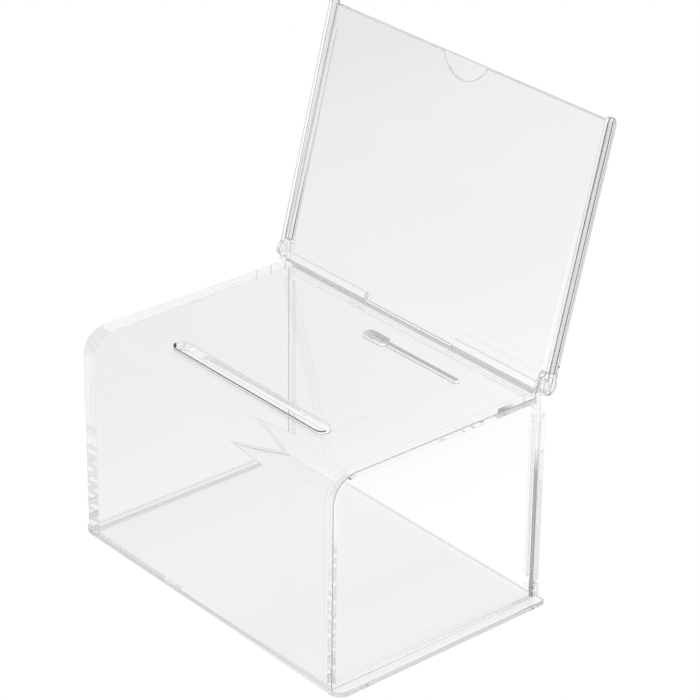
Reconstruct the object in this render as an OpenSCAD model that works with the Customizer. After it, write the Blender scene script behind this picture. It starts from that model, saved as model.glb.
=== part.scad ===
// Clear countertop donation box: bent front-and-top sheet, glued side panels,
// ledged base plate, drop-down rear door and a hinged sign-pocket header that
// folds flat over the top.
// Millimetres. Origin: ground level, centre of the base plate. Front faces -Y,
// left is -X and Z is up. The header is built open, leaning back.

/* [Box] */
// Width over the outer faces of the side panels
body_w = 154.6; // [140:0.2:190]
// Depth from the front face to the rear edges of the side panels
body_d = 104; // [95:0.5:140]
// Height of the top face above the ground
body_h = 93; // [80:0.5:120]
// Thickness of the bent front-and-top sheet
sheet_t = 4; // [3:0.1:4.5]
// Outer radius of the bend between front and top
bend_r = 11; // [8:0.5:16]
// Thickness of each side panel
side_t = 4.76; // [4:0.02:5]

/* [Base] */
// How far the base plate stands out beyond each side panel
base_ledge = 4.2; // [2:0.1:6]
// How far the base plate runs on behind the side panels
base_rear = 3; // [3:0.1:5]
// Thickness of the base plate
base_t = 2.2; // [2:0.1:3]
// Plan radius of the base plate's front corners
base_rf = 5; // [2:0.5:8]
// Plan radius of the base plate's rear corners
base_rr = 1.5; // [0.5:0.25:3]

/* [Slots in the top] */
// Length of the note slot
slot_l = 92; // [60:1:110]
// Width of the note slot
slot_w = 6.4; // [4:0.2:8]
// Distance from the front face to the middle of the note slot
slot_y = 23.4; // [18:0.2:40]
// Length of the wide end of the pen-chain keyhole
key_l = 13; // [8:0.5:16]
// Width of the wide end of the pen-chain keyhole
key_w = 5.2; // [4:0.1:6]
// How far the thin slit of the keyhole runs from the middle of the box
slit_l = 47.5; // [30:0.5:60]
// Width of the thin slit
slit_w = 1.5; // [1.2:0.1:2]
// Distance from the front face to the middle of the keyhole
key_y = 87.6; // [75:0.2:88]

/* [Header] */
// Gap between a hinge tab and the header's side flange
header_side = 1.1; // [0.5:0.1:2]
// Length of the header, measured from the line where it meets the top
header_l = 110.2; // [80:0.2:112]
// How far the open header leans back from upright, in degrees
header_tilt = 14.35; // [5:0.05:25]
// Thickness of each header panel
panel_t = 1.5; // [1.2:0.1:2]
// Thickness of each header side flange
flange_t = 2.1; // [1.6:0.1:2.4]
// How far the rounded tops of the flanges stand above the header panels
flange_rise = 2; // [0:0.1:3]
// Width of the thumb notch at the panel's edge
notch_w = 24; // [16:0.5:30]
// Depth of the thumb notch
notch_h = 8.2; // [5:0.2:12]
// Height of the ledges that close the bottom of the pocket
ledge_h = 3.6; // [2.5:0.1:5]
// Half of the open gap between the two ledges
ledge_gap = 26; // [10:0.5:40]

/* [Header hinge] */
// Distance of the hinge axis behind the side panels' rear edges
hinge_y = 1.3; // [0.5:0.1:2]
// Height of the hinge axis above the top face
hinge_z = 4.5; // [4:0.1:5.5]
// Radius of the rounded hinge ears and tabs
ear_r = 3.6; // [3.2:0.1:4]
// Radius of the header's hinge pins
hpin_r = 1.2; // [1:0.05:1.4]
// Thickness of the tab that each side panel carries for the header
tab_t = 1.6; // [1.2:0.1:2]
// How far the foot of a tab runs forward along the side panel's top
tab_foot = 3.7; // [3:0.1:5]

/* [Rear door] */
// Thickness of the rear door
door_t = 2.8; // [2.4:0.1:2.9]
// Height of the finger gap above the door
door_gap = 3; // [1:0.2:12]
// Radius of the door's two upper corners
door_r = 4; // [1:0.5:8]
// Height of the door's hinge axis above the base plate
dhinge_h = 3.6; // [3.5:0.1:4]
// Radius of the door's hinge pins
dpin_r = 0.8; // [0.7:0.05:0.9]

/* [Fits] */
// Radial running clearance of both hinges
run = 0.05; // [0.03:0.01:0.08]
// Gap between parts that move past one another
gap = 0.3; // [0.25:0.05:0.4]

/* [Hidden] */
$fn = 96;

box_color = [0.93, 0.95, 0.95, 0.35];
header_color = [0.9, 0.92, 0.92, 0.35];
over = 1;                              // how far cutters and joined shapes overrun

// Box; the x values here and below are distances from the middle
side_out = body_w / 2;                 // outer face of a side panel
side_in = side_out - side_t;
base_d = body_d + base_rear;
front_y = -base_d / 2;                 // front face
rear_y = front_y + body_d;             // rear edges of the side panels

// Header hinge
axis_y = rear_y + hinge_y;
axis_z = body_h + hinge_z;
tab_in = side_out - tab_t;             // inner face of a hinge tab
header_pin_in = tab_in + 0.2;          // inner end of a header pin

// Header, drawn upright in (u, v): u runs from its front to its back and v up
// along it, with the hinge axis at u = 0, v = 0
flange_in = side_out + header_side;
flange_out = flange_in + flange_t;
box_edge_v = -hinge_z * cos(header_tilt) - hinge_y * sin(header_tilt); // box's top rear edge
foot_v = box_edge_v + 0.65;            // bottom of the header panels
top_v = box_edge_v + header_l;         // top of the header panels
front_u = -2.04;                       // front edge of the flanges
rear_u = 2.86;                         // rear face of the header
back_panel_u = rear_u - panel_t;       // front face of the back panel
panel_gap = 0.05;                      // between the two panels at the top
// How far the front panel leans back over its length
panel_lean = back_panel_u - panel_t - panel_gap - front_u;
glue = 0.02;                           // film of cement in the sloping joints
corner_in = tab_in - gap;              // inner side of the cut-outs around the tabs
corner_v = ear_r + 0.9;                // top of those cut-outs
spacer_w = 3;
flange_rear_r = 3.3;                   // radii at the top of a flange
flange_front_r = 1.5;

// Rear door and its hinge
door_y = rear_y + 0.1;                 // inner face of the door
door_axis_y = door_y + door_t / 2;
door_axis_z = base_t + dhinge_h;
door_bottom = base_t + 0.7;
door_top = body_h - sheet_t - door_gap;
lug_in = side_in + gap;                // inner face of a door lug
lug_top = door_axis_z + 3;
lug_r = base_rear / 2;                 // radius of the lug's round top
door_foot_x = side_in - gap;           // side edge of the door's narrow foot
door_pin_in = door_foot_x - 4;         // inner end of a door pin
door_hole_in = door_pin_in - 0.2;      // inner end of the hole for it
door_notch_top = lug_top + 0.5;        // top of the notches around the lugs
rib_w = 2;
rib_depth = 1.7;                       // also the radius of the rib's ends
rib_end = 2;                           // rib's distance from the lug top and the door top

// Least x of a span lying between two distances from the middle.
// side is -1 for left and 1 for right, here and below.
function span_start(side, inner, outer) = side > 0 ? inner : -outer;

// Point where a straight edge of a hinge tab meets its round head. The edge
// starts on the top face, reach in front of the axis; turn is 1 for the rear
// edge and -1 for the front one.
function tab_tangent(reach, turn) =
    let (angle = atan2(-hinge_z, -reach) + turn * acos(ear_r / norm([reach, hinge_z])))
    [axis_y + ear_r * cos(angle), axis_z + ear_r * sin(angle)];

// Front of the pocket's inside at height v, clear of the front panel's glue.
function pocket_front(v) =
    front_u + panel_t + glue + panel_lean * (v - foot_v) / (top_v - foot_v);

// Draws its 2D child in the YZ plane and gives it thickness from x0 to x1.
module along_x(x0, x1) {
    translate([x0, 0, 0]) rotate([90, 0, 90]) linear_extrude(x1 - x0) children();
}

// The same on one side of the box, between two distances from the middle.
module on_side(side, inner, outer) {
    start = span_start(side, inner, outer);
    along_x(start, start + outer - inner) children();
}

// Cylinder lying along X on one side of the box.
module side_cylinder(side, inner, outer, radius) {
    translate([span_start(side, inner, outer), 0, 0]) rotate([0, 90, 0])
        cylinder(r = radius, h = outer - inner);
}

// Moves a shape to the header's or the door's hinge axis.
module at_header_axis() {
    translate([0, axis_y, axis_z]) children();
}
module at_door_axis() {
    translate([0, door_axis_y, door_axis_z]) children();
}

// Moves a shape drawn about the hinge axis into its open, leaning place.
module leaning() {
    at_header_axis() rotate([-header_tilt, 0, 0]) children();
}

// Side view of the box, solid, inset from its outside and cut off at
// height bottom and depth back.
module box_outline(inset, bottom, back) {
    bend_y = front_y + bend_r;
    translate([bend_y, bottom]) square([back - bend_y, body_h - inset - bottom]);
    translate([front_y + inset, bottom]) square([bend_r, body_h - bend_r - bottom]);
    translate([bend_y, body_h - bend_r]) circle(bend_r - inset);
}

// Round-ended vertical cutter through the top, centred depth behind the front face.
module slot_cut(x0, x1, depth, width) {
    end_r = width / 2;
    mid_y = front_y + depth;
    bottom = body_h - sheet_t - over;
    cut_h = sheet_t + 2 * over;
    translate([x0 + end_r, mid_y - end_r, bottom]) cube([x1 - x0 - width, width, cut_h]);
    for (x = [x0 + end_r, x1 - end_r])
        translate([x, mid_y, bottom]) cylinder(r = end_r, h = cut_h);
}

module front_top_sheet() {
    color(box_color) difference() {
        along_x(-side_in, side_in) difference() {
            box_outline(0, base_t, rear_y);
            box_outline(sheet_t, base_t - over, rear_y + over);
        }
        slot_cut(-slot_l / 2, slot_l / 2, slot_y, slot_w);
        slot_cut(-key_l / 2, key_l / 2, key_y, key_w);
        slot_cut(0, slit_l, key_y, slit_w);
    }
}

// Side view of the thin hinge tab that rises behind the top corner.
module tab_outline() {
    foot_y = rear_y - tab_foot;
    translate([axis_y, axis_z]) circle(ear_r);
    polygon([[foot_y, body_h - over], [rear_y, body_h - over], [rear_y, body_h],
             tab_tangent(hinge_y, 1), [axis_y, axis_z],
             tab_tangent(hinge_y + tab_foot, -1), [foot_y, body_h]]);
}

module side_panel(side) {
    color(box_color) difference() {
        union() {
            on_side(side, side_in, side_out) box_outline(0, base_t, rear_y);
            on_side(side, tab_in, side_out) tab_outline();
        }
        at_header_axis() side_cylinder(side, tab_in - over, side_out + over, hpin_r + run);
    }
}

module base_plate() {
    half_w = side_out + base_ledge;
    half_d = base_d / 2;
    color(box_color) linear_extrude(base_t) {
        translate([-half_w + base_rf, -half_d]) square([2 * (half_w - base_rf), base_d]);
        translate([-half_w, -half_d + base_rf]) square([2 * half_w, base_d - base_rf - base_rr]);
        translate([-half_w + base_rr, 0]) square([2 * (half_w - base_rr), half_d]);
        for (side = [-1, 1]) {
            translate([side * (half_w - base_rf), -half_d + base_rf]) circle(base_rf);
            translate([side * (half_w - base_rr), half_d - base_rr]) circle(base_rr);
        }
    }
}

// Hinge lug standing on the base plate behind a side panel.
module door_lug(side) {
    color(box_color) difference() {
        on_side(side, lug_in, side_out) {
            translate([rear_y, base_t]) square([base_rear, lug_top - base_t - lug_r]);
            translate([rear_y + lug_r, lug_top - lug_r]) circle(lug_r);
        }
        at_door_axis() side_cylinder(side, lug_in - over, side_out + over, dpin_r);
    }
}

module door_pin(side) {
    color(box_color) at_door_axis() side_cylinder(side, door_pin_in, side_out, dpin_r);
}

// Rear view of the door: narrow foot between the lugs, round upper corners.
module door_outline() {
    corner_x = side_out - door_r;
    translate([-door_foot_x, door_bottom])
        square([2 * door_foot_x, door_notch_top - door_bottom + over]);
    translate([-side_out, door_notch_top]) square([body_w, door_top - door_r - door_notch_top]);
    translate([-corner_x, door_notch_top]) square([2 * corner_x, door_top - door_notch_top]);
    for (side = [-1, 1]) translate([side * corner_x, door_top - door_r]) circle(door_r);
}

module rear_door() {
    color(box_color) difference() {
        translate([0, door_y + door_t, 0]) rotate([90, 0, 0])
            linear_extrude(door_t) door_outline();
        for (side = [-1, 1])
            at_door_axis() side_cylinder(side, door_hole_in, door_foot_x + over, dpin_r + run);
    }
}

// Upright guide rib inside the door, round at both ends.
module door_rib(side) {
    bottom = lug_top + rib_end;
    top = door_top - rib_end;
    color(box_color) on_side(side, door_foot_x - rib_w, door_foot_x) {
        translate([door_y - rib_depth, bottom + rib_depth])
            square([rib_depth, top - bottom - 2 * rib_depth]);
        intersection() {
            translate([door_y - rib_depth, bottom]) square([rib_depth, top - bottom]);
            for (z = [bottom + rib_depth, top - rib_depth])
                translate([door_y, z]) circle(rib_depth);
        }
    }
}

// Cutters that clear the hinge tabs at the header's two lower corners.
module corner_cut() {
    outer = flange_out + over;
    cut_d = 20;                        // well over the header's thickness
    for (side = [-1, 1])
        leaning() translate([span_start(side, corner_in, outer), -cut_d / 2, foot_v - over])
            cube([outer - corner_in, cut_d, corner_v - foot_v + over]);
}

module header_back_panel() {
    color(header_color) difference() {
        leaning() along_x(-flange_in, flange_in)
            translate([back_panel_u, foot_v]) square([panel_t, top_v - foot_v]);
        corner_cut();
    }
}

// Front panel: leans towards the back panel at the top, open at the bottom,
// with a thumb notch in its top edge.
module header_front_panel() {
    notch_r = (notch_w * notch_w / 4 + notch_h * notch_h) / (2 * notch_h);
    cut_d = 40;                        // well over the header's thickness
    color(header_color) difference() {
        leaning() along_x(-flange_in, flange_in)
            polygon([[front_u, foot_v], [front_u + panel_t, foot_v],
                     [front_u + panel_t + panel_lean, top_v], [front_u + panel_lean, top_v]]);
        leaning() translate([0, cut_d / 2, top_v + notch_r - notch_h]) rotate([90, 0, 0])
            cylinder(r = notch_r, h = cut_d);
        corner_cut();
    }
}

// Side view of the space between the two panels, from one height to another.
module pocket_outline(bottom, top) {
    polygon([[pocket_front(bottom), bottom], [back_panel_u, bottom],
             [back_panel_u, top], [pocket_front(top), top]]);
}

// Wedge that closes one side of the pocket.
module header_spacer(side) {
    color(header_color) difference() {
        leaning() on_side(side, flange_in - spacer_w, flange_in)
            pocket_outline(foot_v + ledge_h + 0.5, top_v - 10);
        corner_cut();
    }
}

// Ledge that carries the sign at the bottom of the pocket.
module header_ledge(side) {
    color(header_color) leaning() on_side(side, ledge_gap, corner_in)
        pocket_outline(foot_v, foot_v + ledge_h);
}

// Side view of a flange: hinge ear at the foot, two rounded corners at the top.
module flange_outline() {
    top = top_v + flange_rise;
    front_arc_u = front_u + flange_front_r;
    rear_arc_u = rear_u - flange_rear_r;
    circle(ear_r);
    translate([front_u, 0]) square([rear_u - front_u, top - flange_rear_r]);
    translate([front_u, 0]) square([rear_arc_u - front_u, top - flange_front_r]);
    translate([front_arc_u, 0]) square([rear_arc_u - front_arc_u, top]);
    translate([front_arc_u, top - flange_front_r]) circle(flange_front_r);
    intersection() {
        translate([rear_arc_u, top - flange_rear_r]) circle(flange_rear_r);
        translate([rear_arc_u, top - flange_rear_r]) square(flange_rear_r);
    }
}

module header_flange(side) {
    color(header_color) difference() {
        leaning() on_side(side, flange_in, flange_out) flange_outline();
        leaning() side_cylinder(side, flange_in - over, flange_out + over, hpin_r);
    }
}

module header_pin(side) {
    color(header_color) leaning() side_cylinder(side, header_pin_in, flange_out, hpin_r);
}

front_top_sheet();
side_panel(-1);  // side_panel_left
side_panel(1);  // side_panel_right
base_plate();
door_lug(-1);  // door_lug_left
door_lug(1);  // door_lug_right
door_pin(-1);  // door_pin_left
door_pin(1);  // door_pin_right
rear_door();
door_rib(-1);  // door_rib_left
door_rib(1);  // door_rib_right
header_back_panel();
header_front_panel();
header_spacer(-1);  // header_spacer_left
header_spacer(1);  // header_spacer_right
header_ledge(-1);  // header_ledge_left
header_ledge(1);  // header_ledge_right
header_flange(-1);  // header_flange_left
header_flange(1);  // header_flange_right
header_pin(-1);  // header_pin_left
header_pin(1);  // header_pin_right
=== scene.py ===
"""A clear acrylic box with a bent front-and-top sheet, a hinged rear door and a leaning header.

Front is -Y, right is +X, and the base plate stands on z = 0. Shapes are worked out in
millimetres and turned into metres when a mesh is made.
"""
import math

import bpy
from mathutils import Matrix, Vector
from mathutils.geometry import delaunay_2d_cdt


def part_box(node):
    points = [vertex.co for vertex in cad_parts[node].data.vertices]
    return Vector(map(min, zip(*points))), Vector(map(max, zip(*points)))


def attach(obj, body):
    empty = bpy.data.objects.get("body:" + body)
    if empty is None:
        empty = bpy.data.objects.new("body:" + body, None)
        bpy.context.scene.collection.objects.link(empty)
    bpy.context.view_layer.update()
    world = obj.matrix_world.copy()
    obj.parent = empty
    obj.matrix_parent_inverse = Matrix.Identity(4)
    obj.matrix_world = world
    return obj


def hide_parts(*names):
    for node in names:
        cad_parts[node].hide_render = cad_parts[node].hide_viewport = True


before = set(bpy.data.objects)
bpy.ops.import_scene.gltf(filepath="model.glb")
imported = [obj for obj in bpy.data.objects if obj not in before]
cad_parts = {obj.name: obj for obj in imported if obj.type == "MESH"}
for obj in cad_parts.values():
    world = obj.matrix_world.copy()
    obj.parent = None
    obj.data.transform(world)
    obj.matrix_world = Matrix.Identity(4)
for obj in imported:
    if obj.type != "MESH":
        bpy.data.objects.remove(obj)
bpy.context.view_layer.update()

MM = 0.001
SIDES = ((-1, "left"), (1, "right"))


# ---------------------------------------------------------------- sizes, mm
def mm_box(piece):
    """Low and high corners of a CAD piece."""
    return [[c * 1000 for c in corner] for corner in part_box(piece)]


(SIDE_IN, _, _), (SIDE_OUT, _, _) = mm_box("side_panel_right")
(_, FRONT, _), (_, REAR, TOP) = mm_box("front_top_sheet")
(_, BASE_FRONT, _), (BASE_SIDE, BASE_REAR, BASE_TOP) = mm_box("base_plate")
(FLANGE_IN, _, _), (FLANGE_OUT, _, _) = mm_box("header_flange_right")
(_, DOOR_FRONT, DOOR_LOW), (_, DOOR_REAR, DOOR_HIGH) = mm_box("rear_door")

GLUE = 0.01                 # half of a glue line
EASE = 0.3                  # eased corners of the thick sheet
CLEARANCE = 0.05            # running fit round the pins

# front-and-top sheet, with a round-ended slot towards the front and a keyhole behind it
SHEET = 4.0
BEND_R = 11.0
SHEET_EASE = 0.05
HOLE_EASE = 0.35
SLOT_X, SLOT_Y, SLOT_R = 46.0, FRONT + 23.4, 6.4 / 2
KEY_X, KEY_Y, KEY_R = 6.5, FRONT + 87.6, 5.2 / 2
SLIT_END, SLIT_R = 47.5, 1.5 / 2

# header hinge; the axis lies behind and above the rear top corner of the box
AXIS_BACK, AXIS_UP = 1.3, 4.5
HINGE_Y, HINGE_Z = REAR + AXIS_BACK, TOP + AXIS_UP
TILT = math.radians(14.35)
COS, SIN = math.cos(TILT), math.sin(TILT)
EAR_R = 3.6
PIN_R = 1.2
TAB_IN = SIDE_OUT - 1.6     # inner face of the thin tab on a side panel
TAB_FOOT = 3.7              # length of the tab's foot along the panel top

# header, in its own frame: u to the rear and v up, measured from the hinge axis
HEAD_GAP = 0.65
HEAD_LOW = -AXIS_UP * COS - AXIS_BACK * SIN + HEAD_GAP
HEAD_HIGH = HEAD_LOW - HEAD_GAP + 110.2
FLANGE_TOP = HEAD_HIGH + 2.0
FLANGE_REAR_R, FLANGE_FRONT_R = 3.3, 1.5
HEAD_FRONT, HEAD_REAR = -2.04, 2.86
PANEL = 1.5                 # thickness of the header panels
BACK_PANEL_U = HEAD_REAR - PANEL
SLOPE = (BACK_PANEL_U - PANEL - 0.05 - HEAD_FRONT) / (HEAD_HIGH - HEAD_LOW)
FOOT_X, FOOT_TOP = TAB_IN - 0.3, EAR_R + 0.9   # narrow foot of the panels, between the tabs
NOTCH_X, NOTCH_DEPTH = 12, 8.2
LEDGE_IN, LEDGE_HIGH = 26, 3.6
SPACER_IN, SPACER_TOP = FLANGE_IN - 3, HEAD_HIGH - 10

# rear door and the lugs that carry it
LUG_R = 1.5
LUG_IN = SIDE_IN + 0.3
LUG_TOP = BASE_TOP + 6.6
DOOR_AXIS_Y, DOOR_AXIS_Z = REAR + LUG_R, BASE_TOP + 3.6
DOOR_PIN_R = 0.8
DOOR_PIN_IN, DOOR_HOLE_DEEP = 4, 4.2
DOOR_FOOT_X = SIDE_IN - 0.3
DOOR_SHOULDER = LUG_TOP + 0.5
DOOR_TOP_R, DOOR_FOOT_R = 4, 0.4
RIB_INSET, RIB_DEEP, RIB_WIDE = 2, 1.7, 2

# edge_kind of a face, which the materials read
FACE = 0.0                  # moulded or rolled face
CUT = 1.0                   # cut edge
EASED = 2.0                 # eased corner
FAR_RIM = 2.5               # eased top rim of an opening, away from the front
NEAR_RIM = 3.0              # wall and top rim of an opening on its front side
SHADED_CUT = 4.0              # rear edge of the right side panel, painted with shade
REAR_CUT = 5.0              # rear edge of the top sheet
BASE_CUT = 6.0              # edge of the base plate


# ---------------------------------------------------------------- outlines
def arc(cx, cy, radius, start, end, count):
    angles = [math.radians(start + (end - start) * i / count) for i in range(count + 1)]
    return [(cx + radius * math.cos(a), cy + radius * math.sin(a)) for a in angles]


def circle(cx, cy, radius, count=48, clockwise=True):
    angles = [2 * math.pi * i / count for i in range(count)]
    points = [(cx + radius * math.cos(a), cy + radius * math.sin(a)) for a in angles]
    return points[::-1] if clockwise else points


def rounded(corners, radii, count=8):
    """A counter-clockwise polygon with each corner rounded to its own radius."""
    points = []
    for i, corner in enumerate(corners):
        p, radius = Vector(corner), radii[i]
        if radius <= 0:
            points.append(tuple(p))
            continue
        back = Vector(corners[i - 1]) - p
        ahead = Vector(corners[(i + 1) % len(corners)]) - p
        back.normalize()
        ahead.normalize()
        half = math.acos(max(-1, min(1, back.dot(ahead)))) / 2
        reach = radius / math.tan(half)
        centre = p + (back + ahead).normalized() * (radius / math.sin(half))
        first, last = p + back * reach, p + ahead * reach
        a0 = math.atan2(first.y - centre.y, first.x - centre.x)
        a1 = math.atan2(last.y - centre.y, last.x - centre.x)
        while a1 - a0 > math.pi:
            a1 -= 2 * math.pi
        while a1 - a0 < -math.pi:
            a1 += 2 * math.pi
        points += [(centre.x + radius * math.cos(a0 + (a1 - a0) * k / count),
                    centre.y + radius * math.sin(a0 + (a1 - a0) * k / count))
                   for k in range(count + 1)]
    return points


def inside(p, loop):
    hit = False
    for i in range(len(loop)):
        a, b = loop[i - 1], loop[i]
        if (a.y > p.y) != (b.y > p.y) and p.x < a.x + (b.x - a.x) * (p.y - a.y) / (b.y - a.y):
            hit = not hit
    return hit


class Outline:
    """A 2D outline, counter-clockwise round material and clockwise round a hole.

    Corners flatter than `smooth` degrees share one normal between their two sides.
    """

    def __init__(self, points, smooth=25.0):
        self.points = [Vector(p) for p in points]
        count = len(points)
        sides = []
        for i in range(count):
            d = self.points[(i + 1) % count] - self.points[i]
            sides.append((d.length, Vector((d.y, -d.x)).normalized()))
        self.side_normals = [normal for _, normal in sides]
        self.mitres, self.arriving, self.leaving = [], [], []
        for i in range(count):
            (len_a, a), (len_b, b) = sides[i - 1], sides[i]
            self.mitres.append((a + b) / max(0.2, 1 + a.dot(b)))
            if a.dot(b) > math.cos(math.radians(smooth)):
                a = b = (a * len_a ** 2 + b * len_b ** 2).normalized()
            self.arriving.append(a)
            self.leaving.append(b)

    def at(self, i, inset):
        return tuple(self.points[i] - self.mitres[i] * inset)

    def placed(self, place, height, inset=0):
        """The outline moved in by inset and put at a height."""
        return [place(*self.at(i, inset), height) for i in range(len(self.points))]


# Maps from an outline (u, v) and a height h to the box frame; normals turn but don't shift.
def along_x(sign=1):
    def place(u, v, h, is_normal=False):
        return (sign * h, u, v)
    return place


def along_y(u, v, h, is_normal=False):
    return (u, h, v)


def along_z(u, v, h, is_normal=False):
    return (u, v, h)


def leaning(x, u, v, is_normal=False):
    """The header's own (x, u, v) to the box frame."""
    y, z = u * COS + v * SIN, -u * SIN + v * COS
    return (x, y, z) if is_normal else (x, y + HINGE_Y, z + HINGE_Z)


def header_x(sign):
    def place(u, v, h, is_normal=False):
        return leaning(sign * h, u, v, is_normal)
    return place


def header_face(u_at, slope=0.0):
    """An (x, v) outline with its thickness along u; the plane leans back by slope."""
    def place(x, v, h, is_normal=False):
        if is_normal:
            k = math.sqrt(1 + slope * slope)
            return leaning(x, h / k, v - h * slope / k, True)
        return leaning(x, u_at + h + slope * (v - HEAD_LOW), v)
    return place


# ---------------------------------------------------------------- solids
def eased_steps(size, count):
    """(inset, depth, turn) of the rings of one eased edge, from the cap to the wall."""
    if size <= 0:
        return [(0.0, 0.0, math.pi / 2)]
    return [(size * (1 - math.sin(t)), size * (1 - math.cos(t)), t)
            for t in [math.pi / 2 * k / count for k in range(count + 1)]]


def facet(loop, j, place, low, high):
    """Corners and normals of side j between two rings (inset, height, turn, end)."""
    after = (j + 1) % len(loop.points)
    start, stop = (j, loop.leaving[j]), (after, loop.arriving[after])
    corners, normals = [], []
    for (i, normal), ring in ((start, low), (stop, low), (stop, high), (start, high)):
        inset, height, turn, end = ring
        corners.append(place(*loop.at(i, inset), height))
        normals.append(place(normal[0] * math.sin(turn), normal[1] * math.sin(turn),
                             end * math.cos(turn), True))
    return corners, normals


class Solid:
    """A closed mesh that stands in for one CAD piece, with exact corner normals."""

    def __init__(self, piece):
        self.piece = piece
        self.points, self.index = [], {}
        self.faces, self.normals, self.kinds = [], [], []

    def vertex(self, p):
        key = tuple(round(c, 3) for c in p)
        if key not in self.index:
            self.index[key] = len(self.points)
            self.points.append(tuple(p))
        return self.index[key]

    def face(self, corners, normals, kind=FACE):
        """normals: one vector, or one for each corner. The face is wound to suit them."""
        if isinstance(normals[0], (int, float)):
            normals = [normals] * len(corners)
        face, kept = [], []
        for p, normal in zip(corners, normals):
            i = self.vertex(p)
            if i not in face:
                face.append(i)
                kept.append(Vector(normal))
        if len(face) < 3:
            return
        area = Vector((0, 0, 0))
        for k, i in enumerate(face):
            area += Vector(self.points[i]).cross(Vector(self.points[face[(k + 1) % len(face)]]))
        if area.dot(sum(kept, Vector((0, 0, 0)))) < 0:
            face.reverse()
            kept.reverse()
        self.faces.append(face)
        self.normals.extend(kept)
        self.kinds.append(float(kind))

    def cap(self, loops, normal, kind=FACE):
        """A flat face with holes, from loops of 3D points."""
        if len(loops) == 1:
            self.face(loops[0], normal, kind)
            return
        axis = Vector(normal).normalized()
        across = axis.orthogonal().normalized()
        up = axis.cross(across)
        flat = [[Vector((Vector(p).dot(across), Vector(p).dot(up))) for p in loop]
                for loop in loops]
        edges, start = [], 0
        for loop in loops:
            edges += [(start + i, start + (i + 1) % len(loop)) for i in range(len(loop))]
            start += len(loop)
        corners = [p for loop in loops for p in loop]
        spots, _, triangles, origins, _, _ = delaunay_2d_cdt(
            [p for loop in flat for p in loop], edges, [], 0, 1e-5)
        for tri in triangles:
            middle = (spots[tri[0]] + spots[tri[1]] + spots[tri[2]]) / 3
            if sum(inside(middle, loop) for loop in flat) == 1:
                self.face([corners[origins[i][0]] for i in tri], normal, kind)

    def prism(self, loops, place, low, high, ease, segments=4, caps=True, skip=(),
              wall_kind=CUT, cap_kind=FACE, eased_kind=EASED, side_kinds=None, rim=None):
        """Extrudes outlines from low to high, with eased edges of size ease = (low, high).

        skip: sides left without a wall. side_kinds: {side: kind}, over wall_kind.
        rim: gives the kind of an upper eased edge from the side's 2D normal.
        """
        rings = [(inset, low + depth, turn, -1)
                 for inset, depth, turn in eased_steps(ease[0], segments)]
        wall = len(rings) - 1
        rings += [(inset, high - depth, turn, 1)
                  for inset, depth, turn in reversed(eased_steps(ease[1], segments))]
        for number, loop in enumerate(loops):
            for k in range(len(rings) - 1):
                for j in range(len(loop.points)):
                    if k == wall and j in skip:
                        continue
                    if k == wall:
                        kind = (side_kinds or {}).get(j, wall_kind)
                    elif rim and k > wall:
                        kind = rim(loop.side_normals[j])
                    else:
                        kind = FACE if number else eased_kind
                    self.face(*facet(loop, j, place, rings[k], rings[k + 1]), kind)
        if caps:
            for inset, height, _, end in (rings[0], rings[-1]):
                self.cap([loop.placed(place, height, inset) for loop in loops],
                         place(0, 0, end, True), cap_kind)

    def build(self, material, body):
        sides = [(f[i], f[(i + 1) % len(f)]) for f in self.faces for i in range(len(f))]
        if len(set(sides)) < len(sides) or {(b, a) for a, b in sides} != set(sides):
            raise RuntimeError(f"{self.piece} isn't closed")
        name = self.piece + "_clear"
        mesh = bpy.data.meshes.new(name)
        mesh.from_pydata([(x * MM, y * MM, z * MM) for x, y, z in self.points], [], self.faces)
        mesh.update()
        mesh.polygons.foreach_set("use_smooth", [True] * len(mesh.polygons))
        kinds = mesh.attributes.new("edge_kind", "FLOAT", "FACE")
        kinds.data.foreach_set("value", self.kinds)
        mesh.normals_split_custom_set([normal.normalized() for normal in self.normals])
        mesh.materials.append(material)
        ob = bpy.data.objects.new(name, mesh)
        bpy.context.scene.collection.objects.link(ob)
        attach(ob, body)
        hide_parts(self.piece)


# ---------------------------------------------------------------- shader node tools
def node(tree, kind, inputs=None, **properties):
    """A new node. inputs: {index or name: a value, a socket or a Signal}."""
    made = tree.nodes.new(kind)
    for name, value in properties.items():
        setattr(made, name, value)
    for key, value in (inputs or {}).items():
        if isinstance(value, Signal):
            value = value.socket
        if isinstance(value, bpy.types.NodeSocket):
            tree.links.new(value, made.inputs[key])
        else:
            made.inputs[key].default_value = value
    return made


def math_node(tree, operation, *values):
    made = node(tree, "ShaderNodeMath", dict(enumerate(values)), operation=operation)
    return Signal(tree, made.outputs[0])


class Signal:
    """A number from the node tree that can be used in sums; & and | join tests."""

    def __init__(self, tree, socket):
        self.tree, self.socket = tree, socket

    def math(self, operation, other=0.0):
        return math_node(self.tree, operation, self, other)

    def ranged(self, from_min, from_max, to_min, to_max):
        made = node(self.tree, "ShaderNodeMapRange",
                    {0: self, 1: from_min, 2: from_max, 3: to_min, 4: to_max})
        return Signal(self.tree, made.outputs[0])

    def __add__(self, other):
        return self.math("ADD", other)

    def __sub__(self, other):
        return self.math("SUBTRACT", other)

    def __mul__(self, other):
        return self.math("MULTIPLY", other)

    def __gt__(self, other):
        return self.math("GREATER_THAN", other)

    def __lt__(self, other):
        return self.math("LESS_THAN", other)

    def __or__(self, other):
        return self.math("MAXIMUM", other)

    def __abs__(self):
        return self.math("ABSOLUTE")

    __and__ = __mul__


def components(tree, vector, names="XYZ"):
    split = node(tree, "ShaderNodeSeparateXYZ", {0: vector})
    return [Signal(tree, split.outputs[name]) for name in names]


def millimetres(tree, position, names="XYZ"):
    return [c * 1000.0 for c in components(tree, position, names)]


def noise(tree, vector, **inputs):
    made = node(tree, "ShaderNodeTexNoise", {"Vector": vector, **inputs})
    return Signal(tree, made.outputs["Fac"])


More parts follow.
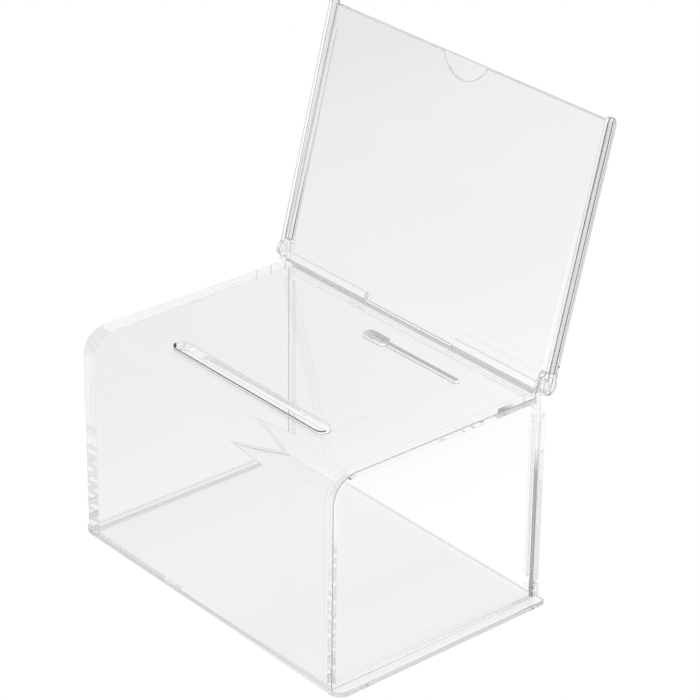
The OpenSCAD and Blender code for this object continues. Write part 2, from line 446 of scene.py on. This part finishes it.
def mix_shader(tree, factor, first, second):
    return node(tree, "ShaderNodeMixShader", {0: factor, 1: first, 2: second}).outputs[0]


def mix_float(tree, factor, first, second):
    made = node(tree, "ShaderNodeMix", {0: factor, 2: first, 3: second}, data_type="FLOAT")
    return Signal(tree, made.outputs[0])


def grey_ramp(tree, value, stops):
    """A colour ramp of greys, from (position, level) stops."""
    ramp = node(tree, "ShaderNodeValToRGB", {0: value})
    elements = ramp.color_ramp.elements
    for i, (position, level) in enumerate(stops):
        element = elements[i] if i < 2 else elements.new(position)
        element.position = position
        element.color = (level, level, level, 1)
    return Signal(tree, ramp.outputs[0])


def empty_tree(owner):
    owner.use_nodes = True
    owner.node_tree.nodes.clear()
    return owner.node_tree


# ---------------------------------------------------------------- acrylic
TINT = (0.988, 0.988, 0.989, 1)
# painted shade with a faint blue cast, for the far rims
FAR_RIM_SHADE = (0.74, 0.79, 0.88, 1)
# colour of the painted shade lines
DARK = (0.015, 0.016, 0.018, 1)
PIPE_DEPTH = 36.5           # bounces after which a painted even glow stands in for the piped light
SHADE_DEPTH = 5.5            # painted shade shows only to rays with fewer bounces
CUT_ROUGHNESS = 0.0         # extra roughness of the cut edges
ON_PLANE = 0.03             # mm either side of a joint face that count as on it
ON_PLANE_WIDE = 0.04


def box_joints(tree, position):
    """1 on the cemented faces of the box, where light goes straight on into the next piece.

    Small offsets keep each test inside the edges of its joint.
    """
    x, y, z = millimetres(tree, position)
    x = abs(x)
    ahead = (y * -1.0 + (FRONT + BEND_R)).math("MAXIMUM", 0.0)
    above = (z - (TOP - BEND_R)).math("MAXIMUM", 0.0)
    band = (ahead * ahead + above * above).math("SQRT") > (BEND_R - SHEET)
    ends = (abs(x - SIDE_IN) < ON_PLANE) & band
    rim = ((x > SIDE_IN) & (x < SIDE_OUT - EASE) & (y < REAR)) \
        | ((y < FRONT + SHEET) & (x < SIDE_IN))
    lugs = (x > LUG_IN) & (y > REAR)
    foot = (abs(z - BASE_TOP) < ON_PLANE_WIDE) & (rim | lugs) & (x < SIDE_OUT - 0.15) \
        & (y > FRONT + 0.05) & (y < REAR + 2 * LUG_R - 0.1)
    back = (abs(y - REAR) < ON_PLANE) & (x > LUG_IN) & (z < LUG_TOP - LUG_R) & (z > BASE_TOP)
    return ends | foot | back


def header_joints(tree, position):
    """1 on the cemented faces of the header."""
    x, y, z = millimetres(tree, position)
    x = abs(x)
    y, z = y - HINGE_Y, z - HINGE_Z
    u, v = y * COS - z * SIN, y * SIN + z * COS
    front = (v - HEAD_LOW) * SLOPE + HEAD_FRONT
    ends = (abs(x - FLANGE_IN) < ON_PLANE) & (v > FOOT_TOP) & (v < HEAD_HIGH - 0.2) \
        & (u > front) & (u < HEAD_REAR - 0.2)
    plane = (abs(u - BACK_PANEL_U) < ON_PLANE_WIDE) | (abs(u - front - PANEL) < ON_PLANE_WIDE)
    spacer = (x > SPACER_IN) & (v > FOOT_TOP + 0.15) & (v < SPACER_TOP)
    ledge = (x > LEDGE_IN + 0.1) & (x < FOOT_X - 0.1) & (v > HEAD_LOW + 0.1) \
        & (v < HEAD_LOW + LEDGE_HIGH - 0.1)
    return ends | (plane & (spacer | ledge))


def is_kind(kind, value):
    return (kind > value - 0.2) & (kind < value + 0.3)


def base_colour(tree, kind, eased):
    """Painted shade darkens the eased corners, and the far rims get painted shade with a faint
    blue cast.
    """
    colour = TINT
    for value, other in ((EASED, (eased, eased, eased, 1)), (FAR_RIM, FAR_RIM_SHADE)):
        colour = node(tree, "ShaderNodeMix", {0: is_kind(kind, value), 6: colour, 7: other},
                      data_type="RGBA").outputs[2]
    return colour


def scratches(tree, position, cut, seed):
    """Roughness of hairline scratches, only where a broad noise lets them show."""
    stretched = node(tree, "ShaderNodeMapping", {
        "Vector": position, "Location": (seed, seed * 0.7, seed * 1.3),
        "Rotation": (0.4, 0.2, 0.9), "Scale": (900, 60, 60)}).outputs[0]
    lines = noise(tree, stretched, Scale=1.0, Detail=2.0, Roughness=0.6)
    patches = noise(tree, position, Scale=28.0, Detail=1.0)
    shown = lines.ranged(0.66, 0.74, 0, 1) * patches.ranged(0.5, 0.7, 0, 1)
    return math_node(tree, "MULTIPLY_ADD", cut, CUT_ROUGHNESS, shown * 0.05)


def surface_normal(tree, position, cut):
    """The slow wave of cast sheet; tool marks on the cut edges, with their strength at 0."""
    wave = noise(tree, position, Scale=22.0, Detail=1.0)
    waved = node(tree, "ShaderNodeBump", {"Height": wave, "Strength": 0.25, "Distance": 0.00003})
    marks = noise(tree, position, Scale=900.0, Detail=2.0) * cut
    marked = node(tree, "ShaderNodeBump", {"Height": marks, "Strength": 0.0,
                                           "Distance": 0.00002, "Normal": waved.outputs[0]})
    return marked.outputs[0]


def painted_shade_share(tree, kind, position, line, on_header):
    """How far each face takes the painted shade: near rims, some cut edges and eased corners."""
    y, z, *x = millimetres(tree, position, "YZX" if on_header else "YZ")
    depth = Signal(tree, node(tree, "ShaderNodeLightPath").outputs["Ray Depth"])
    fade = z.ranged(70.0, 58.0, 0.0, 0.55)      # painted shade grows down the side panel's rear edge
    rim = is_kind(kind, NEAR_RIM)
    grey = (rim & (z > TOP - 1.9) & (y < 0.0)) * 0.9 \
        + (rim & (z > TOP - 0.7) & (y > 0.0)) * 0.2 \
        + is_kind(kind, SHADED_CUT) * fade \
        + is_kind(kind, REAR_CUT) * 0.3 \
        + (kind > BASE_CUT - 0.2) * 0.12 \
        + is_kind(kind, EASED) * line
    if on_header:
        # a thin line down each flange, where the back panel meets it
        u = (y - HINGE_Y) * COS - (z - HINGE_Z) * SIN
        grey = grey + ((abs(abs(x[0]) - FLANGE_IN) < ON_PLANE) & (u > BACK_PANEL_U - 0.05)
                       & (u < BACK_PANEL_U + 0.45)) * 0.7
    return grey & (depth < SHADE_DEPTH)


def acrylic(name, seed, glow, eased, line, density, joints=None):
    """Clear acrylic.

    seed: place of the scratches. glow: level of the painted glow that stands in for light piped
    round the sheet many times.
    eased, line: colour and share of the painted shade on the eased corners. density: of the
    absorption.
    joints: makes the mask of cemented faces.
    """
    material = bpy.data.materials.new(name)
    tree = empty_tree(material)
    position = node(tree, "ShaderNodeTexCoord").outputs["Object"]
    kind = node(tree, "ShaderNodeAttribute", attribute_name="edge_kind").outputs["Fac"]
    kind = Signal(tree, kind)
    cut = kind > 0.5
    clear = node(tree, "ShaderNodeBsdfPrincipled", {
        "IOR": 1.49, "Transmission Weight": 1.0,
        "Base Color": base_colour(tree, kind, eased),
        "Roughness": scratches(tree, position, cut, seed),
        "Normal": surface_normal(tree, position, cut)})
    depth = Signal(tree, node(tree, "ShaderNodeLightPath").outputs["Ray Depth"])
    # painted light: an emission stands in for light piped round the sheet many times
    piped = node(tree, "ShaderNodeEmission", {
        "Strength": 1.0, "Color": (glow * 0.99, glow, glow * 1.01, 1)})
    shader = mix_shader(tree, depth > PIPE_DEPTH, clear.outputs[0], piped.outputs[0])
    if joints:
        through = node(tree, "ShaderNodeBsdfTransparent").outputs[0]
        shader = mix_shader(tree, joints(tree, position), shader, through)
    # painted shade: a dark diffuse mixed in on the near rims, some cut edges and the eased
    # corners
    dark = node(tree, "ShaderNodeBsdfDiffuse", {"Color": DARK}).outputs[0]
    grey = painted_shade_share(tree, kind, position, line, joints is header_joints)
    shader = mix_shader(tree, grey, shader, dark)
    # the plastic takes up a little light, which shows only along the sheet
    volume = node(tree, "ShaderNodeVolumeAbsorption", {
        "Density": density, "Color": (0.9, 0.9, 0.9, 1)})
    node(tree, "ShaderNodeOutputMaterial", {"Surface": shader, "Volume": volume.outputs[0]})
    return material


BOX_ACRYLIC = acrylic("acrylic_box", seed=0.0, glow=0.93, eased=0.7, line=0.3,
                      density=3.0, joints=box_joints)
BASE_ACRYLIC = acrylic("acrylic_base", seed=5.3, glow=0.88, eased=0.85, line=0.15,
                       density=5.0, joints=box_joints)
HEADER_ACRYLIC = acrylic("acrylic_header", seed=3.1, glow=0.8, eased=0.7, line=0.2,
                         density=8.0, joints=header_joints)
FLANGE_ACRYLIC = acrylic("acrylic_flange", seed=4.4, glow=0.97, eased=0.72, line=0.28,
                         density=2.0, joints=header_joints)
DOOR_ACRYLIC = acrylic("acrylic_door", seed=7.7, glow=1.0, eased=0.85, line=0.1,
                       density=1.0)


# ---------------------------------------------------------------- the box
def base_plate():
    corners = [(-BASE_SIDE, BASE_FRONT), (BASE_SIDE, BASE_FRONT),
               (BASE_SIDE, BASE_REAR), (-BASE_SIDE, BASE_REAR)]
    solid = Solid("base_plate")
    solid.prism([Outline(rounded(corners, [5, 5, 1.5, 1.5], 16))], along_z, 0, BASE_TOP,
                ease=(0.25, 0.25), wall_kind=BASE_CUT)
    solid.build(BASE_ACRYLIC, "box")


def slot():
    """A round-ended slot across the top."""
    end = SLOT_X - SLOT_R
    points = arc(end, SLOT_Y, SLOT_R, -90, 90, 20) + arc(-end, SLOT_Y, SLOT_R, 90, 270, 20)
    return Outline(points[::-1])


def keyhole():
    """A short wide slot with a narrow slit running on to the right."""
    end = KEY_X - KEY_R
    meet = math.degrees(math.asin(SLIT_R / KEY_R))
    points = arc(SLIT_END - SLIT_R, KEY_Y, SLIT_R, -90, 90, 10) \
        + arc(end, KEY_Y, KEY_R, meet, 90, 16) \
        + arc(-end, KEY_Y, KEY_R, 90, 270, 16) \
        + arc(end, KEY_Y, KEY_R, -90, -meet, 16)
    return Outline(points[::-1])


def rim_kind(normal):
    return NEAR_RIM if normal.y > 0.2 else FAR_RIM


def front_top_sheet():
    bend = (FRONT + BEND_R, TOP - BEND_R)
    profile = [(FRONT, BASE_TOP + GLUE), (FRONT + SHEET, BASE_TOP + GLUE)] \
        + arc(*bend, BEND_R - SHEET, 180, 90, 24)
    under = len(profile) - 1            # side under the top; the rear edge and the top follow
    rear, over = under + 1, under + 2
    profile += [(REAR, TOP - SHEET), (REAR, TOP)] + arc(*bend, BEND_R, 90, 180, 32)
    solid = Solid("front_top_sheet")
    end = SIDE_IN - GLUE
    solid.prism([Outline(profile)], along_x(), -end, end, ease=(SHEET_EASE, SHEET_EASE),
                segments=2, skip={under, over}, wall_kind=FACE,
                side_kinds={0: CUT, rear: REAR_CUT}, cap_kind=CUT)
    holes = [slot(), keyhole()]
    for hole in holes:
        near = {j: NEAR_RIM for j, n in enumerate(hole.side_normals) if rim_kind(n) == NEAR_RIM}
        solid.prism([hole], along_z, TOP - SHEET, TOP, ease=(HOLE_EASE, HOLE_EASE), caps=False,
                    side_kinds=near, rim=rim_kind)
    flat = end - SHEET_EASE
    for z, up in ((TOP, 1), (TOP - SHEET, -1)):
        sheet = [(-flat, bend[0], z), (flat, bend[0], z), (flat, REAR, z), (-flat, REAR, z)]
        solid.cap([sheet] + [hole.placed(along_z, z, HOLE_EASE) for hole in holes], (0, 0, up))
    solid.build(BOX_ACRYLIC, "box")


def side_panel(sign, side):
    """A side panel with a thin round hinge tab, flush with its outer face, at the rear top."""
    place = along_x(sign)
    inner = SIDE_IN + GLUE
    # angles where the tab's straight sides touch the ear circle
    to_foot = AXIS_BACK + TAB_FOOT
    rear_touch = math.degrees(math.atan2(-AXIS_UP, -AXIS_BACK)
                              + math.acos(EAR_R / math.hypot(AXIS_BACK, AXIS_UP)))
    front_touch = math.degrees(math.atan2(-AXIS_UP, -to_foot)
                               - math.acos(EAR_R / math.hypot(to_foot, AXIS_UP))) + 360
    tab = arc(HINGE_Y, HINGE_Z, EAR_R, rear_touch, front_touch, 44)
    outline = Outline([(FRONT, BASE_TOP + GLUE), (REAR, BASE_TOP + GLUE), (REAR, TOP)] + tab
                      + [(REAR - TAB_FOOT, TOP)]
                      + arc(FRONT + BEND_R, TOP - BEND_R, BEND_R, 90, 180, 32))
    bore = Outline(circle(HINGE_Y, HINGE_Z, PIN_R + CLEARANCE))
    points = outline.points
    corner, foot = 2, 3 + len(tab)      # the tab runs between these two points
    solid = Solid(f"side_panel_{side}")
    # eased outer edge, then the wall, which is shallow round the tab
    rings = [(inset, SIDE_OUT - depth, turn, 1)
             for inset, depth, turn in reversed(eased_steps(EASE, 4))]
    for j in range(len(points)):
        for low, high in zip(rings, rings[1:]):
            solid.face(*facet(outline, j, place, low, high), EASED)
        wall_in = TAB_IN if corner <= j < foot else inner
        corners, normals = facet(outline, j, place, (0, SIDE_OUT - EASE, math.pi / 2, 1),
                                 (0, wall_in, math.pi / 2, 1))
        if j == corner - 1:
            corners.insert(2, place(*points[corner], TAB_IN))
            normals.insert(2, normals[1])
        if j == foot:
            corners.append(place(*points[foot], TAB_IN))
            normals.append(normals[0])
        solid.face(corners, normals, SHADED_CUT if j == corner - 1 and sign > 0 else CUT)
    solid.cap([outline.placed(place, SIDE_OUT, EASE), bore.placed(place, SIDE_OUT, 0.2)],
              place(0, 0, 1))
    # top edge inside the tab, inner face of the tab, inner face of the panel, bore
    solid.face([place(*points[corner], TAB_IN), place(*points[foot], TAB_IN),
                place(*points[foot], inner), place(*points[corner], inner)], (0, 0, 1), CUT)
    solid.cap([[place(*p, TAB_IN) for p in points[corner:foot + 1]],
               bore.placed(place, TAB_IN)], place(0, 0, -1))
    solid.face([place(*p, inner) for p in points[:corner + 1] + points[foot:]],
               place(0, 0, -1))
    solid.prism([bore], place, TAB_IN, SIDE_OUT, ease=(0, 0.2), segments=3, caps=False,
                eased_kind=FACE)
    solid.build(BOX_ACRYLIC, "box")


def door_lug(sign, side):
    low, round_z = BASE_TOP + GLUE, LUG_TOP - LUG_R
    lug = Outline([(REAR + GLUE, low), (REAR + 2 * LUG_R, low)]
                  + arc(REAR + LUG_R, round_z, LUG_R, 0, 180, 20)[:-1]
                  + [(REAR + GLUE, round_z)])
    hole = Outline(circle(DOOR_AXIS_Y, DOOR_AXIS_Z, DOOR_PIN_R + GLUE, 32))
    solid = Solid(f"door_lug_{side}")
    solid.prism([lug, hole], along_x(sign), LUG_IN, SIDE_OUT, ease=(0.15, 0.15), segments=3)
    solid.build(BOX_ACRYLIC, "box")


def door_pin(sign, side):
    solid = Solid(f"door_pin_{side}")
    solid.prism([Outline(circle(DOOR_AXIS_Y, DOOR_AXIS_Z, DOOR_PIN_R, 32, clockwise=False))],
                along_x(sign), DOOR_FOOT_X - DOOR_PIN_IN, SIDE_OUT, ease=(0.12, 0.12),
                segments=3, wall_kind=FACE, eased_kind=FACE)
    solid.build(BOX_ACRYLIC, "box")


# ---------------------------------------------------------------- the rear door
def rear_door():
    """A flat door, narrower at its foot, where it turns between the lugs."""
    foot, shoulder, low_r, top_r = DOOR_FOOT_X, DOOR_SHOULDER, DOOR_FOOT_R, DOOR_TOP_R
    loop = Outline(rounded(
        [(-foot, DOOR_LOW), (foot, DOOR_LOW), (foot, shoulder), (SIDE_OUT, shoulder),
         (SIDE_OUT, DOOR_HIGH), (-SIDE_OUT, DOOR_HIGH), (-SIDE_OUT, shoulder), (-foot, shoulder)],
        [low_r, low_r, 0, low_r, top_r, top_r, low_r, 0]))
    # the two foot edges carry the pin holes, so their walls are made apart
    foot_sides = {}
    for j, a in enumerate(loop.points):
        b = loop.points[(j + 1) % len(loop.points)]
        if abs(a.x - b.x) < 1e-6 and abs(abs(a.x) - foot) < 1e-6 and abs(a.y - b.y) > 2:
            foot_sides[j] = (1 if a.x > 0 else -1, min(a.y, b.y), max(a.y, b.y))
    solid = Solid("rear_door")
    solid.prism([loop], along_y, DOOR_FRONT, DOOR_REAR, ease=(EASE, EASE), skip=foot_sides)
    front, rear = DOOR_FRONT + EASE, DOOR_REAR - EASE
    hole = Outline(circle(DOOR_AXIS_Y, DOOR_AXIS_Z, DOOR_PIN_R + CLEARANCE, 32))
    for sign, low, high in foot_sides.values():
        place = along_x(sign)
        edge = [(sign * foot, y, z)
                for y, z in ((front, low), (rear, low), (rear, high), (front, high))]
        solid.cap([edge, hole.placed(place, foot, 0.12)], (sign, 0, 0), CUT)
        bottom = foot - DOOR_HOLE_DEEP
        solid.prism([hole], place, bottom, foot, ease=(0, 0.12), segments=3, caps=False)
        solid.face(hole.placed(place, bottom), (sign, 0, 0), CUT)
    solid.build(DOOR_ACRYLIC, "door")


def door_rib(sign, side):
    """An upright rib with rounded ends, on the door's inner face."""
    back, low, high = DOOR_FRONT - GLUE, LUG_TOP + RIB_INSET, DOOR_HIGH - RIB_INSET
    radius = RIB_DEEP - GLUE
    rib = Outline([(back, low), (back, high)]
                  + arc(back, high - RIB_DEEP, radius, 90, 180, 12)[1:]
                  + arc(back, low + RIB_DEEP, radius, 180, 270, 12)[:-1])
    solid = Solid(f"door_rib_{side}")
    solid.prism([rib], along_x(sign), DOOR_FOOT_X - RIB_WIDE, DOOR_FOOT_X, ease=(0.2, 0.2),
                segments=3)
    solid.build(DOOR_ACRYLIC, "door")


# ---------------------------------------------------------------- the header
def header_panel(piece, place, notch):
    """A panel with a narrow foot; notch: points cut into its top edge."""
    wide = FLANGE_IN - GLUE
    points = [(-FOOT_X, HEAD_LOW), (FOOT_X, HEAD_LOW), (FOOT_X, FOOT_TOP), (wide, FOOT_TOP),
              (wide, HEAD_HIGH)] + notch \
        + [(-wide, HEAD_HIGH), (-wide, FOOT_TOP), (-FOOT_X, FOOT_TOP)]
    solid = Solid(piece)
    solid.prism([Outline(points)], place, 0, PANEL, ease=(0.2, 0.2))
    solid.build(HEADER_ACRYLIC, "header")


def front_notch():
    radius = (NOTCH_X ** 2 + NOTCH_DEPTH ** 2) / (2 * NOTCH_DEPTH)
    half = math.degrees(math.asin(NOTCH_X / radius))
    return arc(0, HEAD_HIGH + radius - NOTCH_DEPTH, radius, -90 + half, -90 - half, 40)


def gap_outline(low, high):
    """Section of the gap between the two panels, from v = low to high."""
    def front(v):
        return HEAD_FRONT + PANEL + SLOPE * (v - HEAD_LOW) + GLUE
    rear = BACK_PANEL_U - GLUE
    return [(front(low), low), (rear, low), (rear, high), (front(high), high)]


def header_spacer(sign, side):
    solid = Solid(f"header_spacer_{side}")
    solid.prism([Outline(gap_outline(FOOT_TOP + 0.1, SPACER_TOP))], header_x(sign),
                SPACER_IN, FLANGE_IN - GLUE, ease=(0.05, 0.02), segments=2)
    solid.build(HEADER_ACRYLIC, "header")


def header_ledge(sign, side):
    section = rounded(gap_outline(HEAD_LOW, HEAD_LOW + LEDGE_HIGH), [0.2] * 4, 4)
    solid = Solid(f"header_ledge_{side}")
    solid.prism([Outline(section)], header_x(sign), LEDGE_IN, FOOT_X, ease=(0.15, 0.15),
                segments=3)
    solid.build(HEADER_ACRYLIC, "header")


def header_flange(sign, side):
    """A round ear about the hinge, running up into a strip with rounded top corners."""
    rear_meet = math.degrees(math.acos(HEAD_REAR / EAR_R))
    front_meet = math.degrees(math.acos(HEAD_FRONT / EAR_R))
    rear_r, front_r = FLANGE_REAR_R, FLANGE_FRONT_R
    points = arc(0, 0, EAR_R, front_meet, 360 + rear_meet, 56) \
        + [(HEAD_REAR, FLANGE_TOP - rear_r)] \
        + arc(HEAD_REAR - rear_r, FLANGE_TOP - rear_r, rear_r, 0, 90, 14)[1:] \
        + arc(HEAD_FRONT + front_r, FLANGE_TOP - front_r, front_r, 90, 180, 10)
    solid = Solid(f"header_flange_{side}")
    solid.prism([Outline(points, smooth=20), Outline(circle(0, 0, PIN_R + GLUE))],
                header_x(sign), FLANGE_IN, FLANGE_OUT, ease=(0.25, 0.25))
    solid.build(FLANGE_ACRYLIC, "header")


def header_pin(sign, side):
    solid = Solid(f"header_pin_{side}")
    solid.prism([Outline(circle(0, 0, PIN_R, clockwise=False))], header_x(sign),
                TAB_IN + 0.2, FLANGE_OUT, ease=(0.15, 0.15), segments=3,
                wall_kind=FACE, eased_kind=FACE)
    solid.build(HEADER_ACRYLIC, "header")


base_plate()
front_top_sheet()
for sign, side in SIDES:
    side_panel(sign, side)
    door_lug(sign, side)
    door_pin(sign, side)
rear_door()
for sign, side in SIDES:
    door_rib(sign, side)
header_panel("header_back_panel", header_face(BACK_PANEL_U), [])
header_panel("header_front_panel", header_face(HEAD_FRONT, SLOPE), front_notch())
for sign, side in SIDES:
    header_spacer(sign, side)
    header_ledge(sign, side)
    header_flange(sign, side)
    header_pin(sign, side)

# ---------------------------------------------------------------- stage, light, camera
scene = bpy.context.scene

# (x in metres, level) of the floor as seen through and off the plastic: painted light and shade
FLOOR_LEVELS = [
    (-1.1, 0.82), (-0.55, 0.82), (-0.42, 0.82), (-0.335, 0.885), (-0.25, 0.915),
    (-0.16, 0.935), (-0.09, 0.97), (0.0, 1.04), (0.1, 1.1)]
FLOOR_X0, FLOOR_X1 = -1.2, 0.4      # span of the floor ramp, m
FLOOR_PEAK = 1.2                    # level that the ramp's white stands for
UNDER_SHADE = 0.165                 # painted shadow: loss of level under the box
FROM_REAR = 0.95                    # level for rays that come down from the rear, a painted shade
BESIDE_SHADE = 0.05                 # painted shade: loss of level in front of and behind the box, at the left

# (position from straight down to straight up, level) of the surroundings
SKY_LEVELS = [(0.0, 0.84), (0.5, 0.84), (0.6, 0.86), (0.8, 0.78), (1.0, 0.85)]


def floor_material():
    """Plain white seen directly; otherwise painted light and shade, darker to the left, with a
    painted shadow under the box.
    """
    material = bpy.data.materials.new("pale_floor")
    tree = empty_tree(material)
    geometry = node(tree, "ShaderNodeNewGeometry")
    x, y = components(tree, geometry.outputs["Position"], "XY")
    [incoming_y] = components(tree, geometry.outputs["Incoming"], "Y")
    stops = [((at - FLOOR_X0) / (FLOOR_X1 - FLOOR_X0), level / FLOOR_PEAK)
             for at, level in FLOOR_LEVELS]
    level = grey_ramp(tree, x.ranged(FLOOR_X0, FLOOR_X1, 0, 1), stops) * FLOOR_PEAK
    under = abs(x).ranged(0.077, 0.087, 1, 0) * abs(y).ranged(0.049, 0.059, 1, 0) \
        * x.ranged(-0.07, 0.03, UNDER_SHADE * 0.3, UNDER_SHADE)
    level = level * math_node(tree, "SUBTRACT", 1.0, under)
    level = level * incoming_y.ranged(0.0, 0.3, 1.0, FROM_REAR)
    beside = abs(y).ranged(0.09, 0.2, BESIDE_SHADE, 0.0)
    level = level - x.ranged(-0.08, -0.03, 1.0, 0.0) * beside
    # light piped through many bounces sees a white floor too
    path = node(tree, "ShaderNodeLightPath")
    piped = Signal(tree, path.outputs["Ray Depth"]).ranged(6.5, 9.5, 0.0, 1.0)
    level = mix_float(tree, piped, level, 1.0)
    level = mix_float(tree, path.outputs["Is Camera Ray"], level, 1.0)
    light = node(tree, "ShaderNodeEmission", {"Color": (1, 1, 1, 1), "Strength": level})
    node(tree, "ShaderNodeOutputMaterial", {0: light.outputs[0]})
    return material


def studio_floor():
    half, z = 3, -0.0002
    mesh = bpy.data.meshes.new("studio_floor")
    mesh.from_pydata([(-half, -half, z), (half, -half, z), (half, half, z), (-half, half, z)],
                     [], [(0, 1, 2, 3)])
    floor = bpy.data.objects.new("studio_floor", mesh)
    scene.collection.objects.link(floor)
    mesh.materials.append(floor_material())


def studio_world():
    world = bpy.data.worlds.new("studio")
    scene.world = world
    tree = empty_tree(world)
    direction = node(tree, "ShaderNodeTexCoord").outputs["Generated"]
    [up] = components(tree, direction, "Z")
    sky = grey_ramp(tree, up.ranged(-1, 1, 0, 1), SKY_LEVELS)
    background = node(tree, "ShaderNodeBackground", {0: sky})
    node(tree, "ShaderNodeOutputWorld", {0: background.outputs[0]})


def add_camera():
    """The camera stands in front, to the right and above."""
    data = bpy.data.cameras.new("camera")
    data.lens = 156.2554286
    data.sensor_width = 36
    data.clip_start = 0.01
    data.clip_end = 20
    camera = bpy.data.objects.new("camera", data)
    scene.collection.objects.link(camera)
    right = (0.64784674, 0.76170463, 0.0100329)
    up = (-0.35627759, 0.29132819, 0.887803)
    back = (0.67332078, -0.57873478, 0.46011431)
    position = (0.80575, -0.6724, 0.6422)
    camera.matrix_world = Matrix(list(zip(right, up, back, position)) + [(0, 0, 0, 1)])
    scene.camera = camera


studio_floor()
studio_world()
add_camera()

scene.view_settings.view_transform = "Standard"
scene.view_settings.look = "None"
scene.cycles.max_bounces = 48
scene.cycles.transmission_bounces = 48
scene.cycles.glossy_bounces = 48
scene.cycles.transparent_max_bounces = 256
